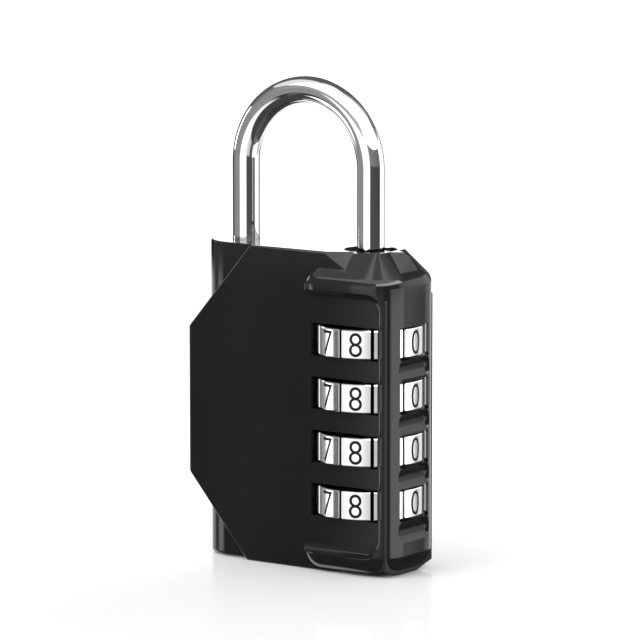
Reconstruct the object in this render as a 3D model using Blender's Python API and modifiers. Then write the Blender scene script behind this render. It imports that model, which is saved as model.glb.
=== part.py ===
"""Four-dial combination padlock: cast housing, rear cover, dials on clutch hubs and a lifting shackle.

Every physical piece is a separate named object. Units are metres and +Z is up. The front faces -Y, and the
origin is under the middle of the lock, on the surface that the lock stands on.
"""
import math

import bmesh
import bpy
from mathutils import Matrix

MM = 0.001
GAP = 0.3 * MM  # clearance between pieces that touch or slide on each other
WELD = 0.01 * MM  # distance under which two vertices are one
OVERCUT = 5 * MM  # how far a cutter runs past the face that it opens
FLUSH = 0.02 * MM  # step between faces that are level, so that a union sees two planes and not one

# Cast body, seen from the front: a plate with cut corners, a round toe end and a square dial column.
BODY_HEIGHT = 54.2 * MM
PLATE_HALF_DEPTH = 7.0 * MM
PLATE_REACH = 32.8 * MM  # from the dial axis to the plate's straight edge
PLATE_TOP_CORNER = (20.0 * MM, 14.8 * MM)  # from the dial axis, and down from the top
PLATE_FOOT_CORNER = (20.8 * MM, 14.2 * MM)  # from the dial axis, and up from the bottom
PLATE_EDGE = 0.4 * MM
TOE_END_RADIUS = 6.0 * MM
COLUMN_HALF_WIDTH = 9.1 * MM
COLUMN_HALF_DEPTH = 8.8 * MM
COLUMN_CORNER = 5.8 * MM
COLUMN_TOE_CORNER = 4.0 * MM  # its two corners on the toe side, wider than the top chamfer
COLUMN_TOP_CHAMFER = 3.6 * MM
COLUMN_FOOT_ROUND = 3.5 * MM
SEAM_Y = 4.1 * MM  # the joint between the housing and the rear cover

# Panel cut into the column's front and back, level with the plate
PANEL_FOOT = 3.3 * MM
PANEL_HEAD = 47.9 * MM
PANEL_REACH = 7.2 * MM
PANEL_CORNER = 3.2 * MM

# Dials
DIAL_COUNT = 4
DIGITS = 10
FIRST_DIAL_Z = 39.3 * MM
DIAL_PITCH = 9.07 * MM
DIAL_RADIUS = 9.1 * MM
DIAL_HEIGHT = 4.9 * MM
DIAL_NOTCH_DEPTH = 0.6 * MM
DIAL_NOTCH_HALF = 2.6  # degrees
DIAL_BORE = 5.5 * MM
DIAL_KEYWAY_DEPTH = 0.6 * MM
POCKET_RADIUS = DIAL_RADIUS + 0.25 * MM
POCKET_HEIGHT = DIAL_HEIGHT + 2 * GAP
WINDOW_REACH = 7.2 * MM  # front and back windows, towards the toe
SCALLOP_RADIUS = 2.4 * MM
SCALLOP_DEPTH = 0.9 * MM

# Shackle
ROD_RADIUS = 2.3 * MM
LEG_SPACING = 25.6 * MM
BOW_RISE = 13.3 * MM  # from the body's top to the bow's centre
TOE_DEPTH = 7.0 * MM
HEEL_END_Z = 4.6 * MM
FIN_REACH = 4.3 * MM
FIN_WIDTH = 1.6 * MM
FIN_HEIGHT = 3.0 * MM
SPRING_BORE_RADIUS = 1.65 * MM
SPRING_BORE_DEPTH = 12.0 * MM

# Clutch hubs, spacers and bushings
HUB_RADIUS = DIAL_BORE - GAP
HUB_BORE = ROD_RADIUS + GAP
HUB_SLOT_WIDTH = FIN_WIDTH + 2 * GAP
HUB_SLOT_REACH = FIN_REACH + 0.35 * MM
KEY_WIDTH = 1.2 * MM
SPACER_RADIUS = 5.6 * MM
STACK_BORE = SPACER_RADIUS + GAP
LEG_BORE = FIN_REACH + 0.4 * MM
BUSHING_LENGTH = 8.0 * MM
TOE_BUSHING_RADIUS = 3.4 * MM
TOE_BUSHING_LENGTH = 3.0 * MM

# Shackle spring and its seat
SEAT_Z = 1.5 * MM
SEAT_THICKNESS = 1.2 * MM
SEAT_STUB_RADIUS = 0.55 * MM
SEAT_STUB_LENGTH = 3.5 * MM
COIL_RADIUS = 1.1 * MM
COIL_WIRE_RADIUS = 0.25 * MM
COIL_TURNS = 7
COIL_POINTS_PER_TURN = 10

# Detent plate and the rivets that hold it, in a slot on the toe side of the dials
DETENT_ANGLE = math.radians(18)  # from the X axis, on the rear toe side
DETENT_THICKNESS = 0.4 * MM
DETENT_REACH = 11.4 * MM
DETENT_HALF_WIDTH = 1.4 * MM
DETENT_FINGER_HEIGHT = 2.4 * MM
DETENT_MARGIN = 3.0 * MM
PIN_RADIUS = 0.5 * MM
PIN_HEAD_RADIUS = 0.9 * MM
PIN_HEAD_HEIGHT = 0.5 * MM
PIN_DEPTH = 1.5 * MM  # in the housing's wall

# Rivets that join the rear cover to the housing, as places from the dial axis and above the base
RIVET_PLACES = ((17.0 * MM, 49.9 * MM), (17.0 * MM, 3.4 * MM), (29.6 * MM, 27.1 * MM), (13.4 * MM, 27.1 * MM))
RIVET_RADIUS = 1.0 * MM
RIVET_HEAD_RADIUS = 1.5 * MM
RIVET_HEAD_HEIGHT = 0.6 * MM
RIVET_SINK = 0.1 * MM  # of the head below the cover's face
RIVET_FOOT_Y = -1.0 * MM

# Cores that lighten the cast plate, open at the back
CORE_WIDTH = 6.0 * MM
CORE_HEIGHT = 15.0 * MM
CORE_FRONT_WALL = 1.8 * MM
CORE_CENTRES = ((17.0 * MM, 37.5 * MM), (24.5 * MM, 36.5 * MM), (17.0 * MM, 16.0 * MM), (24.5 * MM, 16.0 * MM))

DIAL_X = (PLATE_REACH - COLUMN_HALF_WIDTH) / 2
TOE_X = DIAL_X - LEG_SPACING
BOW_Z = BODY_HEIGHT + BOW_RISE


# ---------------------------------------------------------------- scene and materials

def clear_scene():
    for obj in list(bpy.data.objects):
        bpy.data.objects.remove(obj, do_unlink=True)


def new_collection(name):
    group = bpy.data.collections.new(name)
    bpy.context.scene.collection.children.link(group)
    return group


def new_material(name, colour, roughness, metallic):
    finish = bpy.data.materials.new(name)
    finish.use_nodes = True
    shader = finish.node_tree.nodes["Principled BSDF"]
    shader.inputs["Base Color"].default_value = (*colour, 1)
    shader.inputs["Roughness"].default_value = roughness
    shader.inputs["Metallic"].default_value = metallic
    return finish


# ---------------------------------------------------------------- solids

def add_object(name, mesh, group):
    obj = bpy.data.objects.new(name, mesh)
    group.objects.link(obj)
    return obj


def finish_mesh(name, bm):
    bmesh.ops.recalc_face_normals(bm, faces=bm.faces)
    mesh = bpy.data.meshes.new(name)
    bm.to_mesh(mesh)
    bm.free()
    return mesh


def box(name, low, high, group):
    bm = bmesh.new()
    bmesh.ops.create_cube(bm, size=1)
    size = [b - a for a, b in zip(low, high)]
    centre = [(a + b) / 2 for a, b in zip(low, high)]
    bmesh.ops.scale(bm, vec=size, verts=bm.verts)
    bmesh.ops.translate(bm, vec=centre, verts=bm.verts)
    return add_object(name, finish_mesh(name, bm), group)


def cylinder(name, radius, low, high, group, x=0.0, y=0.0, segments=48):
    """An upright cylinder from height low to height high."""
    bm = bmesh.new()
    bmesh.ops.create_cone(bm, cap_ends=True, segments=segments, radius1=radius, radius2=radius, depth=high - low)
    bmesh.ops.translate(bm, vec=(x, y, (low + high) / 2), verts=bm.verts)
    return add_object(name, finish_mesh(name, bm), group)


def turned(name, profile, group, segments):
    """A round solid about Z from its profile, (radius, height) from the top of the axis down to its foot."""
    mesh = bpy.data.meshes.new(name)
    points = [(radius, 0, height) for radius, height in profile]
    mesh.from_pydata(points, [(i, i + 1) for i in range(len(points) - 1)], [])
    obj = add_object(name, mesh, group)
    turn = obj.modifiers.new("turn", "SCREW")
    turn.axis = "Z"
    turn.steps = segments
    turn.render_steps = segments
    turn.use_merge_vertices = True
    turn.merge_threshold = WELD
    turn.use_smooth_shade = False
    return obj


def stepped_pin(name, radius, head_radius, foot, head, top, group, segments=16):
    """A pin from height foot, with a head from height head to height top."""
    profile = [(0, top), (head_radius, top), (head_radius, head), (radius, head), (radius, foot), (0, foot)]
    return turned(name, profile, group, segments)


def arc(x, y, radius, start, end, steps):
    """Points on an arc, with the angles in degrees."""
    angles = [math.radians(start + (end - start) * i / steps) for i in range(steps + 1)]
    return [(x + radius * math.cos(a), y + radius * math.sin(a)) for a in angles]


def circle(radius, count, x=0.0, y=0.0):
    return arc(x, y, radius, 0, 360 * (count - 1) / count, count - 1)


def curve_to_mesh(drawn, name, group):
    """Turn a curve object into a mesh object of the same shape, with its caps welded on."""
    bpy.context.view_layer.update()
    mesh = bpy.data.meshes.new_from_object(drawn.evaluated_get(bpy.context.evaluated_depsgraph_get()))
    bm = bmesh.new()
    bm.from_mesh(mesh)
    bm.transform(drawn.matrix_world)
    bmesh.ops.remove_doubles(bm, verts=bm.verts, dist=WELD)
    curve = drawn.data
    bpy.data.objects.remove(drawn)
    bpy.data.curves.remove(curve)
    bpy.data.meshes.remove(mesh)
    return add_object(name, finish_mesh(name, bm), group)


def plate(name, outlines, low, high, group, facing="Z"):
    """A flat solid of an outline with holes: in X and Y from height low to high, or in X and Z from y low to high."""
    curve = bpy.data.curves.new(name + "_outline", "CURVE")
    curve.dimensions = "2D"
    curve.fill_mode = "BOTH"
    curve.extrude = (high - low) / 2
    for points in outlines:
        spline = curve.splines.new("POLY")
        spline.points.add(len(points) - 1)
        for point, (u, v) in zip(spline.points, points):
            point.co = (u, v, 0, 1)
        spline.use_cyclic_u = True
    drawn = add_object(name + "_drawn", curve, group)
    middle = (low + high) / 2
    if facing == "Z":
        drawn.matrix_world = Matrix.Translation((0, 0, middle))
    else:
        drawn.matrix_world = Matrix.Translation((0, middle, 0)) @ Matrix.Rotation(math.pi / 2, 4, "X")
    return curve_to_mesh(drawn, name, group)


def rod(name, points, radius, group, resolution):
    """A round bar or wire along a list of points."""
    curve = bpy.data.curves.new(name + "_path", "CURVE")
    curve.dimensions = "3D"
    curve.bevel_depth = radius
    curve.bevel_resolution = resolution
    curve.use_fill_caps = True
    spline = curve.splines.new("POLY")
    spline.points.add(len(points) - 1)
    for point, place in zip(spline.points, points):
        point.co = (*place, 1)
    drawn = add_object(name + "_drawn", curve, group)
    return curve_to_mesh(drawn, name, group)


def combine(obj, other, operation):
    step = obj.modifiers.new(operation.lower() + "_" + other.name, "BOOLEAN")
    step.operation = operation
    step.solver = "EXACT"
    step.object = other
    return obj


def cut(obj, *cutters):
    for cutter in cutters:
        combine(obj, cutter, "DIFFERENCE")
    return obj


def join(obj, *others):
    for other in others:
        combine(obj, other, "UNION")
    return obj


def smooth(obj, angle=30):
    obj.data.shade_smooth()
    obj.data.set_sharp_from_angle(angle=math.radians(angle))
    return obj


def set_origin(obj, place):
    """Move an object's origin to a place on its joint axis and leave its shape where it is."""
    obj.data.transform(Matrix.Translation([-c for c in place]))
    obj.location = place
    return obj


def dial_height(index):
    return FIRST_DIAL_Z - index * DIAL_PITCH


# ---------------------------------------------------------------- body blank and its cuts

def plate_outline():
    """The front plate with its two cut corners, in X and Z."""
    edge_x = DIAL_X - PLATE_REACH
    top_x, top_drop = DIAL_X - PLATE_TOP_CORNER[0], PLATE_TOP_CORNER[1]
    foot_x, foot_rise = DIAL_X - PLATE_FOOT_CORNER[0], PLATE_FOOT_CORNER[1]
    end_x = DIAL_X + PANEL_REACH + 0.1 * MM
    panel_top = PANEL_HEAD + 1 * MM
    return [(edge_x, foot_rise), (foot_x, 0), (DIAL_X, 0), (DIAL_X, PANEL_FOOT / 2), (end_x, PANEL_FOOT / 2),
            (end_x, panel_top), (DIAL_X, panel_top), (DIAL_X, BODY_HEIGHT), (top_x, BODY_HEIGHT),
            (edge_x, BODY_HEIGHT - top_drop)]


def one_face_per_side(obj):
    """Join the triangles of each flat side, so that a bevel keeps the side flat."""
    bm = bmesh.new()
    bm.from_mesh(obj.data)
    bmesh.ops.dissolve_limit(bm, angle_limit=math.radians(1), verts=bm.verts, edges=bm.edges)
    bm.to_mesh(obj.data)
    bm.free()


def bevel_edges(obj, chosen, width, segments):
    """Bevel the edges of a mesh that the test picks."""
    bm = bmesh.new()
    bm.from_mesh(obj.data)
    edges = [edge for edge in bm.edges if chosen(edge)]
    bmesh.ops.bevel(bm, geom=edges, offset=width, segments=segments, profile=0.5, affect="EDGES")
    bm.to_mesh(obj.data)
    bm.free()
    return obj


def make_column(group):
    """The square column around the dials: round corners, a chamfered top and a rounded foot."""
    foot, top = FLUSH, BODY_HEIGHT - FLUSH
    low = (DIAL_X - COLUMN_HALF_WIDTH, -COLUMN_HALF_DEPTH, foot)
    high = (DIAL_X + COLUMN_HALF_WIDTH, COLUMN_HALF_DEPTH, top)
    column = box("column_blank", low, high, group)

    def upright(edge, side):
        a, b = edge.verts
        return abs(a.co.z - b.co.z) > BODY_HEIGHT / 2 and (a.co.x - DIAL_X) * side > 0

    def level_at(height):
        return lambda edge: all(abs(v.co.z - height) < FLUSH / 4 for v in edge.verts)

    bevel_edges(column, lambda edge: upright(edge, -1), COLUMN_TOE_CORNER, 6)
    bevel_edges(column, lambda edge: upright(edge, 1), COLUMN_CORNER, 8)
    bevel_edges(column, level_at(top), COLUMN_TOP_CHAMFER, 1)
    bevel_edges(column, level_at(foot), COLUMN_FOOT_ROUND, 4)
    return cut(column, make_panel_cutter(group, -1), make_panel_cutter(group, 1))


def make_plate_blank(group):
    blank = plate("plate_blank", [plate_outline()], -PLATE_HALF_DEPTH, PLATE_HALF_DEPTH, group, facing="Y")
    one_face_per_side(blank)

    def on_face(edge):
        a, b = edge.verts
        return a.co.y * b.co.y > 0

    return bevel_edges(blank, on_face, PLATE_EDGE, 1)


def make_toe_end(group):
    """The round end of the body that holds the shackle's toe."""
    inside_x = DIAL_X - COLUMN_HALF_WIDTH + 2 * MM
    outline = arc(TOE_X, 0, TOE_END_RADIUS, 90, 270, 20)
    outline += [(inside_x, -TOE_END_RADIUS), (inside_x, TOE_END_RADIUS)]
    return plate("toe_end_blank", [outline], FLUSH, BODY_HEIGHT - FLUSH, group)


def make_panel_cutter(group, side):
    """The recess in the column's front (side -1) or back (side 1). The plate fills it up to its own face."""
    left, right = DIAL_X - COLUMN_HALF_WIDTH - OVERCUT, DIAL_X + PANEL_REACH
    corner = PANEL_CORNER
    outline = [(left, PANEL_FOOT)]
    outline += arc(right - corner, PANEL_FOOT + corner, corner, -90, 0, 5)
    outline += arc(right - corner, PANEL_HEAD - corner, corner, 0, 90, 5)
    outline += [(left, PANEL_HEAD)]
    below_plate = PLATE_HALF_DEPTH - 0.4 * MM
    near, far = sorted((side * below_plate, side * (COLUMN_HALF_DEPTH + OVERCUT)))
    return plate("panel_cutter_%s" % ("back" if side > 0 else "front"), [outline], near, far, group, facing="Y")


def make_body_blank(group):
    """The whole outer form of the body, before it is split at the seam."""
    blank = join(make_plate_blank(group), make_toe_end(group), make_column(group))
    for index in range(DIAL_COUNT):
        cut(blank, make_scallop_cutter(group, index))
    return blank


def make_scallop_cutter(group, index):
    """A thumb groove across the column's side, below a dial."""
    height = dial_height(index) - DIAL_PITCH / 2
    centre_x = DIAL_X + COLUMN_HALF_WIDTH + SCALLOP_RADIUS - SCALLOP_DEPTH
    outline = circle(SCALLOP_RADIUS, 20, centre_x, height)
    reach = SEAM_Y + 0.5 * MM
    return plate("scallop_cutter_%d" % (index + 1), [outline], -reach, reach, group, facing="Y")


def window_outline(side):
    """The part of a window that reaches past the pocket on the toe side, at the front (side -1) or back (side 1)."""
    depth = COLUMN_HALF_DEPTH + OVERCUT
    return [(DIAL_X - WINDOW_REACH, side * depth), (DIAL_X, side * depth)]


def housing_pocket_outline():
    """A dial's pocket in the housing, with its front and side windows, open to the seam so that the dial loads."""
    window_angle = math.degrees(math.acos(WINDOW_REACH / POCKET_RADIUS))
    side_angle = math.degrees(math.asin(SEAM_Y / POCKET_RADIUS))
    far_x = DIAL_X + COLUMN_HALF_WIDTH + OVERCUT
    points = [(far_x, SEAM_Y), (DIAL_X - POCKET_RADIUS, SEAM_Y)]
    points += arc(DIAL_X, 0, POCKET_RADIUS, 180, 180 + window_angle, 8)
    points += window_outline(-1)
    points += arc(DIAL_X, 0, POCKET_RADIUS, 270, 360 - side_angle, 12)
    points.append((far_x, -SEAM_Y))
    return points


def cover_pocket_outline():
    """A dial's pocket in the rear cover, with its back window."""
    window_angle = math.degrees(math.acos(WINDOW_REACH / POCKET_RADIUS))
    side_angle = math.degrees(math.asin(SEAM_Y / POCKET_RADIUS))
    points = arc(DIAL_X, 0, POCKET_RADIUS, side_angle, 90, 12)
    points += window_outline(1)[::-1]
    points += arc(DIAL_X, 0, POCKET_RADIUS, 180 - window_angle, 180 - side_angle, 4)
    return points


def pocket_cutters(group, name, outline):
    """The same opening at each dial."""
    cutters = []
    for index in range(DIAL_COUNT):
        low = dial_height(index) - POCKET_HEIGHT / 2
        cutters.append(plate("%s_cutter_%d" % (name, index + 1), [outline], low, low + POCKET_HEIGHT, group))
    return cutters


def stack_way_cutter(group):
    """The way along which the spacers load into the housing's webs."""
    outline = arc(DIAL_X, 0, STACK_BORE, 180, 360, 20) + [(DIAL_X + STACK_BORE, SEAM_Y), (DIAL_X - STACK_BORE, SEAM_Y)]
    return plate("stack_way_cutter", [outline], dial_height(DIAL_COUNT - 1), dial_height(0), group)


def stack_bore_cutter(group):
    """The spacers' bore in the rear cover."""
    return cylinder("stack_bore_cutter", STACK_BORE, dial_height(DIAL_COUNT - 1), dial_height(0), group, DIAL_X, 0, 40)


def leg_bore_cutter(group):
    """The bore for the leg, its fins, its bushing and its spring seat, through the housing and the cover."""
    return cylinder("leg_bore_cutter", LEG_BORE, SEAT_Z - GAP, BODY_HEIGHT + OVERCUT, group, DIAL_X, 0, 40)


def detent_slot_cutter(group):
    low, high = detent_span()
    return box("detent_cutter", (DIAL_X - DETENT_REACH - 2 * GAP, -DETENT_HALF_WIDTH - 2 * GAP, low - 2 * GAP),
               (DIAL_X - DIAL_RADIUS, SEAM_Y, high + 2 * GAP), group)


def core_cutters(group):
    cutters = []
    for number, (reach, height) in enumerate(CORE_CENTRES, 1):
        low = (DIAL_X - reach - CORE_WIDTH / 2, CORE_FRONT_WALL - PLATE_HALF_DEPTH, height - CORE_HEIGHT / 2)
        high = (DIAL_X - reach + CORE_WIDTH / 2, SEAM_Y, height + CORE_HEIGHT / 2)
        cutters.append(box("core_cutter_%d" % number, low, high, group))
    return cutters


def across_y(obj, place):
    """Turn an upright solid so that its height runs along +Y from a place."""
    obj.matrix_world = Matrix.Translation(place) @ Matrix.Rotation(-math.pi / 2, 4, "X")
    return obj


def rivet_hole_cutters(group):
    cutters = []
    head_low = PLATE_HALF_DEPTH - RIVET_SINK - RIVET_HEAD_HEIGHT - GAP
    for number, (reach, height) in enumerate(RIVET_PLACES, 1):
        hole = stepped_pin("rivet_hole_%d" % number, RIVET_RADIUS + GAP, RIVET_HEAD_RADIUS + GAP, RIVET_FOOT_Y - GAP,
                           head_low, COLUMN_HALF_DEPTH, group)
        cutters.append(across_y(hole, (DIAL_X - reach, 0, height)))
    return cutters


def toe_hole_cutters(group):
    depth = BODY_HEIGHT - TOE_DEPTH - 1.2 * MM
    bushing_low = BODY_HEIGHT - TOE_BUSHING_LENGTH - GAP
    top = BODY_HEIGHT + OVERCUT
    return [cylinder("toe_hole_cutter", ROD_RADIUS + GAP, depth, top, group, TOE_X, 0, 32),
            cylinder("toe_bushing_cutter", TOE_BUSHING_RADIUS + GAP, bushing_low, top, group, TOE_X, 0, 32)]


# ---------------------------------------------------------------- casting and cover

def make_housing(parts, tools, blank):
    """The front casting, with everything inside it open to the seam."""
    reach = PLATE_REACH + OVERCUT
    housing = box("housing", (-reach, -COLUMN_HALF_DEPTH - OVERCUT, -OVERCUT),
                  (reach, SEAM_Y - GAP / 2, BODY_HEIGHT + OVERCUT), parts)
    combine(housing, blank, "INTERSECT")
    cut(housing, *pocket_cutters(tools, "housing_pocket", housing_pocket_outline()))
    cut(housing, stack_way_cutter(tools), bpy.data.objects["leg_bore_cutter"], detent_slot_cutter(tools))
    return cut(housing, *core_cutters(tools), *toe_hole_cutters(tools), *pin_hole_cutters(tools))


def make_back_cover(parts, tools, blank):
    """The rear cover, from the seam back."""
    reach = PLATE_REACH + OVERCUT
    cover = box("back_cover", (-reach, SEAM_Y + GAP / 2, -OVERCUT),
                (reach, COLUMN_HALF_DEPTH + OVERCUT, BODY_HEIGHT + OVERCUT), parts)
    combine(cover, blank, "INTERSECT")
    cut(cover, *pocket_cutters(tools, "cover_pocket", cover_pocket_outline()))
    return cut(cover, stack_bore_cutter(tools), bpy.data.objects["leg_bore_cutter"])


def make_cover_rivets(parts):
    """Rivets with flush heads in the cover and shanks in the housing."""
    top = PLATE_HALF_DEPTH - RIVET_SINK
    for number, (reach, height) in enumerate(RIVET_PLACES, 1):
        rivet = stepped_pin("cover_rivet_%d" % number, RIVET_RADIUS, RIVET_HEAD_RADIUS, RIVET_FOOT_Y,
                            top - RIVET_HEAD_HEIGHT, top, parts)
        across_y(rivet, (DIAL_X - reach, 0, height))


# ---------------------------------------------------------------- dials, hubs and spacers

def dial_outline():
    """The dial's rim: ten faces with a notch between neighbours. A face points straight at +X."""
    step = 360 / DIGITS
    half_face = step / 2 - DIAL_NOTCH_HALF
    points = []
    for digit in range(DIGITS):
        middle = digit * step
        points += arc(0, 0, DIAL_RADIUS, middle - half_face, middle + half_face, 4)
        notch = middle + step / 2
        points += arc(0, 0, DIAL_RADIUS - DIAL_NOTCH_DEPTH, notch - DIAL_NOTCH_HALF * 0.7,
                      notch + DIAL_NOTCH_HALF * 0.7, 1)
    return points


def dial_bore_outline():
    """The dial's bore, with a keyway for each digit."""
    step = 360 / DIGITS
    half_way = math.degrees(math.asin((KEY_WIDTH / 2 + GAP) / DIAL_BORE))
    points = []
    for digit in range(DIGITS):
        middle = digit * step
        points += arc(0, 0, DIAL_BORE + DIAL_KEYWAY_DEPTH, middle - half_way, middle + half_way, 1)
        points += arc(0, 0, DIAL_BORE, middle + half_way, middle + step - half_way, 2)
    return points


def hub_outline():
    """The clutch hub's rim, with one key that sits in a keyway of the dial."""
    half_key = math.degrees(math.asin(KEY_WIDTH / 2 / HUB_RADIUS))
    key_tip = HUB_RADIUS + DIAL_KEYWAY_DEPTH
    half_tip = math.degrees(math.asin(KEY_WIDTH / 2 / key_tip))
    return arc(0, 0, key_tip, -half_tip, half_tip, 1) + arc(0, 0, HUB_RADIUS, half_key, 360 - half_key, 30)


def hub_bore_outline():
    """The hub's bore for the leg, with one slot towards -X that lets the fins through."""
    half_slot = math.degrees(math.asin(HUB_SLOT_WIDTH / 2 / HUB_BORE))
    half_width = HUB_SLOT_WIDTH / 2
    slot = [(-HUB_SLOT_REACH, -half_width), (-HUB_SLOT_REACH, half_width)]
    return arc(0, 0, HUB_BORE, half_slot - 180, 180 - half_slot, 20) + slot[::-1]


def make_dial(parts, index):
    name = "dial_%d" % (index + 1)
    half = DIAL_HEIGHT / 2
    dial = plate(name, [dial_outline(), dial_bore_outline()], -half, half, parts)
    dial.location = (DIAL_X, 0, dial_height(index))
    return dial


def make_hub(parts, index):
    name = "clutch_hub_%d" % (index + 1)
    half = DIAL_HEIGHT / 2
    hub = plate(name, [hub_outline(), hub_bore_outline()], -half, half, parts)
    hub.location = (DIAL_X, 0, dial_height(index))
    return hub


def make_spacer(parts, index):
    """A ring between two hubs, wide enough inside for a fin."""
    name = "spacer_%d" % (index + 1)
    low = dial_height(index + 1) + DIAL_HEIGHT / 2 + GAP
    high = dial_height(index) - DIAL_HEIGHT / 2 - GAP
    spacer = plate(name, [circle(SPACER_RADIUS, 32), circle(LEG_BORE, 32)], low, high, parts)
    spacer.data.transform(Matrix.Translation((DIAL_X, 0, 0)))
    return smooth(spacer)


# ---------------------------------------------------------------- shackle, bushings and spring

def shackle_path():
    toe_end = BODY_HEIGHT - TOE_DEPTH
    middle_x = (TOE_X + DIAL_X) / 2
    bow = [(x, 0, z) for x, z in arc(middle_x, BOW_Z, LEG_SPACING / 2, 180, 0, 24)]
    return [(TOE_X, 0, toe_end)] + bow + [(DIAL_X, 0, HEEL_END_Z)]


def fin_height(index):
    """The middle of the fin that waits under a hub while the shackle is down."""
    return dial_height(index) - DIAL_PITCH / 2


def make_shackle(parts, tools):
    """The hardened rod: a short toe, the bow, and a long heel leg with one fin for each hub."""
    shackle = rod("shackle", shackle_path(), ROD_RADIUS, parts, 6)
    for index in range(DIAL_COUNT):
        low = fin_height(index) - FIN_HEIGHT / 2
        fin = box("fin_%d" % (index + 1), (DIAL_X - FIN_REACH, -FIN_WIDTH / 2, low),
                  (DIAL_X - ROD_RADIUS * 0.8, FIN_WIDTH / 2, low + FIN_HEIGHT), tools)
        join(shackle, fin)
    bore = cylinder("spring_bore_cutter", SPRING_BORE_RADIUS, HEEL_END_Z - OVERCUT, HEEL_END_Z + SPRING_BORE_DEPTH,
                    tools, DIAL_X, 0, 20)
    cut(shackle, bore)
    set_origin(shackle, (DIAL_X, 0, BODY_HEIGHT))
    return smooth(shackle)


def make_bushing(parts, name, x, outer, length, low):
    bushing = plate(name, [circle(outer, 32), circle(ROD_RADIUS + GAP, 32)], low, low + length, parts)
    bushing.data.transform(Matrix.Translation((x, 0, 0)))
    return smooth(bushing)


def make_shackle_spring(parts):
    """The coil that pushes the heel leg up, from the seat into the leg's bore."""
    low = SEAT_Z + SEAT_THICKNESS + GAP + COIL_WIRE_RADIUS
    high = HEEL_END_Z + SPRING_BORE_DEPTH - GAP - COIL_WIRE_RADIUS
    count = COIL_TURNS * COIL_POINTS_PER_TURN
    points = []
    for i in range(count + 1):
        angle = 2 * math.pi * i / COIL_POINTS_PER_TURN
        points.append((DIAL_X + COIL_RADIUS * math.cos(angle), COIL_RADIUS * math.sin(angle),
                       low + (high - low) * i / count))
    return smooth(rod("shackle_spring", points, COIL_WIRE_RADIUS, parts, 2), 60)


def make_spring_seat(parts):
    top = SEAT_Z + SEAT_THICKNESS
    rim, stub = LEG_BORE - GAP, SEAT_STUB_RADIUS
    profile = [(0, top + SEAT_STUB_LENGTH), (stub, top + SEAT_STUB_LENGTH), (stub, top), (rim, top), (rim, SEAT_Z),
               (0, SEAT_Z)]
    seat = turned("spring_seat", profile, parts, 24)
    seat.location.x = DIAL_X
    return seat


# ---------------------------------------------------------------- detent plate

def detent_span():
    low = dial_height(DIAL_COUNT - 1) - DETENT_FINGER_HEIGHT / 2 - DETENT_MARGIN
    high = dial_height(0) + DETENT_FINGER_HEIGHT / 2 + DETENT_MARGIN
    return low, high


def finger_outline():
    """A bent finger whose nose stops just short of the dial's rim."""
    nose = DIAL_RADIUS + GAP
    tip = (DIAL_X - nose * math.cos(DETENT_ANGLE), nose * math.sin(DETENT_ANGLE))
    back_x = DIAL_X - DETENT_REACH
    front_x = back_x + DETENT_THICKNESS
    return [(back_x, -DETENT_HALF_WIDTH), (front_x, -DETENT_HALF_WIDTH), (front_x, DETENT_HALF_WIDTH), tip,
            (tip[0] - DETENT_THICKNESS / 2, tip[1] + DETENT_THICKNESS), (back_x, DETENT_HALF_WIDTH + DETENT_THICKNESS)]


def pin_heights():
    low, high = detent_span()
    inset = DETENT_MARGIN / 2
    return low + inset, high - inset


def across_x(obj, height):
    """Turn an upright solid so that its height runs along +X, at a height above the base."""
    obj.matrix_world = Matrix.Translation((0, 0, height)) @ Matrix.Rotation(math.pi / 2, 4, "Y")
    return obj


def make_detent_plate(parts, tools):
    """A spring steel strip with one finger for each dial."""
    low, high = detent_span()
    back_x = DIAL_X - DETENT_REACH
    strip = box("detent_plate", (back_x, -DETENT_HALF_WIDTH, low),
                (back_x + DETENT_THICKNESS, DETENT_HALF_WIDTH, high), parts)
    for index in range(DIAL_COUNT):
        middle = dial_height(index)
        half = DETENT_FINGER_HEIGHT / 2
        finger = plate("finger_%d" % (index + 1), [finger_outline()], middle - half, middle + half, tools)
        join(strip, finger)
    for number, height in enumerate(pin_heights(), 1):
        hole = cylinder("pin_hole_%d" % number, PIN_RADIUS + GAP, back_x - OVERCUT, back_x + OVERCUT, tools, segments=12)
        cut(strip, across_x(hole, height))
    return strip


def make_detent_pins(parts):
    """Two headed pins that hold the detent plate to the housing's wall."""
    wall_x = DIAL_X - DETENT_REACH - 2 * GAP
    head_x = DIAL_X - DETENT_REACH + DETENT_THICKNESS + GAP
    for number, height in enumerate(pin_heights(), 1):
        pin = stepped_pin("detent_pin_%d" % number, PIN_RADIUS, PIN_HEAD_RADIUS, wall_x - PIN_DEPTH, head_x,
                          head_x + PIN_HEAD_HEIGHT, parts, 12)
        across_x(pin, height)


def pin_hole_cutters(tools):
    wall_x = DIAL_X - DETENT_REACH - 2 * GAP
    cutters = []
    for number, height in enumerate(pin_heights(), 1):
        hole = cylinder("pin_wall_hole_%d" % number, PIN_RADIUS + GAP, wall_x - PIN_DEPTH - GAP, wall_x + GAP, tools,
                        segments=12)
        cutters.append(across_x(hole, height))
    return cutters


# ---------------------------------------------------------------- assembly

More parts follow.
